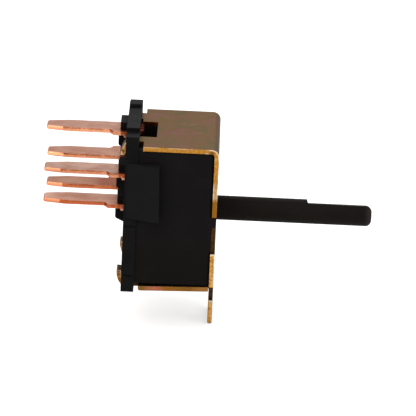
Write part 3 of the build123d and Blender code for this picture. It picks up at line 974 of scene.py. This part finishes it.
@dataclass(frozen=True)
class CrestWearAndGlints:
    """Pale metal on the sheet's cut edges: edge wear, with painted highlights on edges that lean
    up or forward and painted glints at the fold's corner, the notch, the ledges and the curled
    tabs.
    """

    mask_share: float = 0.32
    outward: Point = (1.0, 0.0, 1.0)
    outward_zone: Fade = Fade(0.0, 0.1)
    corner_glint: tuple[float, float] = (-1.0 * MM, 18.5 * MM)
    corner_glint_zone: Fade = Fade(1.2 * MM, 2.4 * MM, 1.0, 0.0)
    rubbed: float = 9.0 * MM
    rubbed_zone: Fade = Fade(1.2 * MM, 2.8 * MM, 0.6, 0.0)
    notch_zone: Fade = Fade(-0.3 * MM, 0.0, 0.75, 0.0)
    notch_specks: Fade = Fade(0.42, 0.52, 0.3, 1.0)
    ledge_zone: Fade = Fade(0.25 * MM, 0.75 * MM, 0.9, 0.0)
    curl_start: float = 0.5
    curl_end: float = 0.6
    curl_low: Fade = Fade(5.0 * MM, 9.0 * MM, 0.12, 0.0)
    curl_high: float = 0.7

    def mask(self, zones: SheetMasks) -> Socket:
        """Mask the worn crests of the cut faces.

        Args:
            zones: the zones of the sheet.

        Returns:
            The mask's socket.
        """
        tree, sheet, crest = zones.tree, zones.sheet, zones.edges["Crest"]
        # painted glint at the outer corner of the fold
        away = tree.measure("DISTANCE", zones.place,
                            (self.corner_glint[0], sheet.near_side, self.corner_glint[1]))
        corner_glint = tree.product(crest, tree.fade(away, self.corner_glint_zone))
        rubbed = tree.product(crest, tree.fade(tree.off(zones.up, self.rubbed),
                                               self.rubbed_zone))
        # painted highlight under the notch's lower edge, broken up by specks
        notch = tree.product(
            crest, tree.fade(zones.up, self.notch_zone.moved(sheet.lug_notch)),
            tree.fade(zones.specks, self.notch_specks))
        # painted highlight on the ledges at the notch and the tab's top
        nearest = tree.math("MINIMUM", tree.off(zones.up, sheet.lug_notch),
                            tree.off(zones.up, sheet.tab_top))
        ledge = tree.product(crest, tree.fade(nearest, self.ledge_zone))
        # only edges that lean up or forward keep the crest: edge wear with a painted highlight
        # where the light falls
        facing = tree.measure("DOT_PRODUCT", zones.edges["Tilt"], self.outward)
        outer = tree.highest(corner_glint, notch, tree.product(zones.edges["Mask"], self.mask_share))
        outer = tree.product(outer, tree.fade(facing, self.outward_zone))
        # painted glints on the curled tabs
        curl = Fade(self.curl_start, self.curl_end, tree.fade(zones.up, self.curl_low),
                    self.curl_high)
        curled = tree.product(crest, tree.product(zones.curled, tree.fade(zones.specks, curl)))
        hidden = tree.highest(zones.recess, zones.low_edge)
        shown = tree.math("SUBTRACT", zones.cut["Mask"], hidden, clamp=True)
        return tree.product(tree.highest(outer, ledge, rubbed, curled), shown)


@dataclass(frozen=True, kw_only=True)
class ChromatedSteel(Finish):
    """Sheet steel with yellow zinc dichromate: a mottled, slightly iridescent film."""

    sheet: FoldedSheet = FoldedSheet()
    film: PassivatedFilm = PassivatedFilm()
    layers: tuple[Any, ...] = (LowWallEdge(), PlateFlank(), InnerEdges())
    crests: CrestWearAndGlints = CrestWearAndGlints()
    cut: Colour = (0.31, 0.120, 0.010)
    cut_pale: Colour = (0.50, 0.245, 0.048)
    curled: Colour = (0.17, 0.070, 0.012)
    curled_pale: Colour = (0.50, 0.230, 0.055)
    curled_share: Fade = Fade(0.42, 0.6)
    # pale metal of edge wear and of the painted glints
    crest: Colour = (0.92, 0.80, 0.60)
    tint: Colour = (0.44, 0.43, 0.43)
    relief: float = 0.008 * MM
    roughness: Fade = Fade(0.3, 0.7, 0.36, 0.42)
    rough_cut: float = 0.06
    lines: float = 3600.0
    stretch: float = 0.06
    line_depth: float = 0.4
    scratch_scale: float = 300.0
    scratch_share: float = 0.06

    def lay(self, tree: MaterialTree) -> None:
        """Add the finish's nodes.

        Args:
            tree: the material's tree.
        """
        zones = SheetMasks(tree, self.sheet)
        rolled = tree.place(Effect.ROLLED_SHEET, Lines=self.lines, Stretch=self.stretch)
        marks = tree.place(Effect.SCUFFS, Scale=self.scratch_scale)
        coloured = tree.blend(zones.cut["Mask"], self.film.colour(zones, rolled["Tone"]),
                              self.cut_colour(zones))
        bright = tree.highest(self.crests.mask(zones),
                              tree.product(marks["Scratch"], self.scratch_share))
        roughness = tree.math("MULTIPLY_ADD", zones.cut["Mask"], self.rough_cut,
                              tree.fade(zones.specks, self.roughness))
        height = tree.math("MULTIPLY_ADD", zones.cut["Break"], zones.cut["Mask"],
                           tree.product(rolled["Height"], self.line_depth))
        tree.fix(Metallic=1.0, Specular_Tint=(*self.tint, 1.0))
        tree.coat(tree.blend(bright, coloured, self.crest), roughness, height, self.relief,
                  zones.edges["Normal"])

    def cut_colour(self, zones: SheetMasks) -> Socket:
        """Colour the sheet's cut faces, one kind of edge after another.

        Args:
            zones: the zones of the sheet.

        Returns:
            The colour's socket.
        """
        tree = zones.tree
        colour = tree.blend(zones.cut["Break"], self.cut, self.cut_pale)
        for layer in self.layers:
            colour = layer.cover(zones, colour)
        ends = tree.blend(tree.fade(zones.specks, self.curled_share), self.curled,
                          self.curled_pale)
        return tree.blend(zones.curled, colour, ends)


# ------------------------------------------------------------------ sub-assemblies
class SubAssembly(ABC):
    """Pieces that are dressed together."""

    @abstractmethod
    def build(self) -> None:
        """Dress the pieces."""

    def dress(self, finish: Finish, *nodes: str) -> None:
        """Give CAD pieces a finish.

        Args:
            finish: the finish to build.
            *nodes: the CAD pieces that get it.
        """
        material = finish.build()
        for node in nodes:
            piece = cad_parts[node]
            if not piece.material_slots:
                piece.data.materials.append(material)
            for slot in piece.material_slots:
                slot.material = material
            log.info("%s: %s in %s", type(self).__name__, node, finish.name)


@dataclass(frozen=True)
class Enclosure(SubAssembly):
    """The folded bracket, the housing in it and the terminal board behind it."""

    # warmer towards the bottom of the housing
    housing_lower_tone: ZoneTone = ZoneTone((0.0062, 0.0052, 0.0042), Axis.Z,
                                       Fade(2.0 * MM, -12.0 * MM))
    # painted light: the latch ramp's tilted near face is lighter
    board_ramp_light: ZoneTone = ZoneTone((0.0086, 0.0080, 0.0081), Axis.Y,
                                     Fade(-16.2 * MM, -16.3 * MM))

    def build(self) -> None:
        """Dress the enclosure."""
        self.dress(ChromatedSteel(name="zinc_dichromate_steel"), "bracket")
        self.dress(Moulding(name="housing_black_moulding", deep=(0.0058, 0.0049, 0.0051),
                            pale=(0.0082, 0.0071, 0.0074), zone_tone=self.housing_lower_tone),
                   "housing")
        self.dress(Moulding(name="board_black_moulding", deep=(0.0048, 0.0043, 0.0043),
                            pale=(0.0074, 0.0067, 0.0068), zone_tone=self.board_ramp_light),
                   "terminal_board")


@dataclass(frozen=True)
class Terminals(SubAssembly):
    """The five blades with their contacts; each blade's own tones are painted light and shade
    for how light falls on it.
    """

    battery: str = "battery"
    window_edge: float = -19.6 * MM
    darkened_blade: str = "medium_high"
    # Each row: blade, face, cut and lead-in colours. The tones differ as painted light and
    # shade: medium_low is lit up against the shade of the blades above it, and the far blades
    # high and medium_high are darkened.
    blades: tuple[tuple[str, Colour, Colour, Colour], ...] = (
        ("battery", (0.47, 0.26, 0.19), (0.71, 0.31, 0.165), (0.88, 0.35, 0.185)),
        ("low", (0.53, 0.32, 0.244), (0.56, 0.225, 0.118), (0.68, 0.265, 0.14)),
        ("high", (0.46, 0.24, 0.168), (0.67, 0.28, 0.14), (0.92, 0.43, 0.215)),
        ("medium_low", (0.74, 0.44, 0.33), (0.44, 0.102, 0.034), (0.64, 0.22, 0.105)),
        ("medium_high", (0.42, 0.21, 0.138), (0.50, 0.14, 0.055), (0.78, 0.295, 0.14)))

    def build(self) -> None:
        """Dress the blades and contacts."""
        for name, face, cut, lead_in in self.blades:
            finish = StampedCopper(name=f"copper_{name}", face=face, cut=cut, lead_in=lead_in,
                                   entry=self.window_edge if name == self.battery else NOWHERE,
                                   darkening=float(name == self.darkened_blade))
            self.dress(finish, f"terminal_{name}")
        contacts = [f"contact_{name}" for name, *_ in self.blades if name != self.battery]
        self.dress(BrightMetal(name="silver_contact_face"), "common_ring", *contacts)


@dataclass(frozen=True)
class Rotor(SubAssembly):
    """What turns: shaft, carrier, detent and contact bridge."""

    shaft_edge: float = 0.25 * MM
    # painted highlight on the shaft's end chamfer
    shaft_end_highlight: ZoneTone = ZoneTone((0.024, 0.019, 0.018), Axis.X,
                                     Fade(35.9 * MM, 37.6 * MM))

    def build(self) -> None:
        """Dress the rotor."""
        self.dress(Moulding(name="shaft_black_moulding", deep=(0.0056, 0.0042, 0.0034),
                            pale=(0.0084, 0.0066, 0.0054), specular=0.06,
                            edge=self.shaft_edge, zone_tone=self.shaft_end_highlight),
                   "control_shaft")
        self.dress(Moulding(name="natural_acetal", deep=(0.70, 0.67, 0.58),
                            pale=(0.78, 0.76, 0.68), worn=(0.85, 0.84, 0.8),
                            roughness=Fade(0.3, 1.0, 0.35, 0.5), specular=0.5),
                   "contact_carrier")
        self.dress(StampedCopper(name="bridge_copper", root=NOWHERE), "contact_bridge")
        self.dress(BrightMetal(name="bridge_contact_face"), "bridge_contacts")
        self.dress(BrightMetal(name="spring_steel", face=(0.55, 0.55, 0.56),
                               dull=(0.4, 0.4, 0.42)),
                   "thrust_washer", "detent_ball_near", "detent_ball_far", "detent_spring",
                   "bridge_spring")


# ------------------------------------------------------------------ studio
@dataclass(frozen=True)
class Lamp:
    """A soft rectangular light."""

    name: str
    place: Point
    size: tuple[float, float]
    power: float

    def build(self) -> None:
        """Hang the lamp and aim it at the part."""
        light = bpy.data.lights.new(self.name, "AREA")
        light.shape = "RECTANGLE"
        light.size, light.size_y = self.size
        light.energy = self.power
        lamp = bpy.data.objects.new(self.name, light)
        lamp.location = self.place
        lamp.rotation_euler = (-Vector(self.place)).to_track_quat("-Z", "Y").to_euler()
        bpy.context.scene.collection.objects.link(lamp)


@dataclass(frozen=True)
class Studio:
    """Pale floor, plain background, soft lights and the camera."""

    floor_size: float = 6.0
    floor_grey: float = 0.80
    floor_glow: float = 0.62
    sky_share: float = 0.55
    elevation: float = math.radians(18.1)
    roll: float = math.radians(2.6)
    distance: float = 0.85
    aside: float = 2.162 * MM
    above: float = 0.172 * MM
    lens: float = 299.4
    sensor: float = 36.0
    clip: tuple[float, float] = (0.01, 20.0)
    lamps: tuple[Lamp, ...] = (
        Lamp("key_lamp", (-0.35, -0.55, 0.75), (0.7, 0.7), 3.6),
        Lamp("fill_lamp", (0.7, -0.45, 0.35), (0.6, 0.6), 1.6),
        Lamp("rim_lamp", (0.25, 0.8, 0.6), (0.8, 0.4), 1.8))

    @staticmethod
    def seen_directly(tree: ShaderTree) -> Socket:
        """Return 1 for rays that show the background: camera, mirror and glass rays."""
        path = tree.add("LightPath").outputs
        return tree.highest(*(path[f"Is {kind} Ray"] for kind in ("Camera", "Glossy",
                                                                  "Transmission")))

    def make_world(self) -> None:
        """Light the part evenly from a white surround."""
        world = bpy.data.worlds.new("white_surround")
        bpy.context.scene.world = world
        world.use_nodes = True
        tree = ShaderTree(world.node_tree)
        background = world.node_tree.nodes["Background"]
        background.inputs["Color"].default_value = WHITE
        tree.feed(background.inputs["Strength"],
                  tree.fade(self.seen_directly(tree), Fade(0.0, 1.0, self.sky_share, 1.0)))

    def make_floor(self) -> None:
        """Lay the floor under the part's lowest edge."""
        half = self.floor_size / 2
        height = cad_bounds[0].z
        mesh = bpy.data.meshes.new("floor")
        mesh.from_pydata([(-half, -half, height), (half, -half, height),
                          (half, half, height), (-half, half, height)], [], [(0, 1, 2, 3)])
        floor = bpy.data.objects.new("floor", mesh)
        bpy.context.scene.collection.objects.link(floor)
        tree = MaterialTree("pale_floor")
        tree.fix(Base_Color=(self.floor_grey,) * 3 + (1.0,), Roughness=1.0,
                 Specular_IOR_Level=0.0, Emission_Color=WHITE)
        tree.feed(tree.shader.inputs["Emission Strength"],
                  tree.product(self.seen_directly(tree), self.floor_glow))
        mesh.materials.append(tree.material)

    def make_camera(self) -> None:
        """Stand the camera in front of the part's near side, a little above it."""
        towards = Vector((0.0, math.cos(self.elevation), -math.sin(self.elevation)))
        level = Vector((1.0, 0.0, 0.0))
        upright = level.cross(towards)
        right = math.cos(self.roll) * level + math.sin(self.roll) * upright
        up = math.cos(self.roll) * upright - math.sin(self.roll) * level
        place = -self.aside * right - self.above * up - self.distance * towards
        camera = bpy.data.cameras.new("camera")
        camera.lens = self.lens
        camera.sensor_width = self.sensor
        camera.clip_start, camera.clip_end = self.clip
        stand = bpy.data.objects.new("camera", camera)
        axes = Matrix((right, up, -towards)).transposed()
        stand.matrix_world = Matrix.Translation(place) @ axes.to_4x4()
        bpy.context.scene.collection.objects.link(stand)
        bpy.context.scene.camera = stand

    def build(self) -> None:
        """Set up the studio."""
        bpy.context.scene.view_settings.view_transform = "Standard"
        self.make_world()
        self.make_floor()
        for lamp in self.lamps:
            lamp.build()
        self.make_camera()
        log.info("Studio: floor, lamps and camera")


def main() -> None:
    """Dress the switch and set up the studio."""
    for part in (Enclosure(), Terminals(), Rotor(), Studio()):
        part.build()


if __name__ == "__main__":
    main()
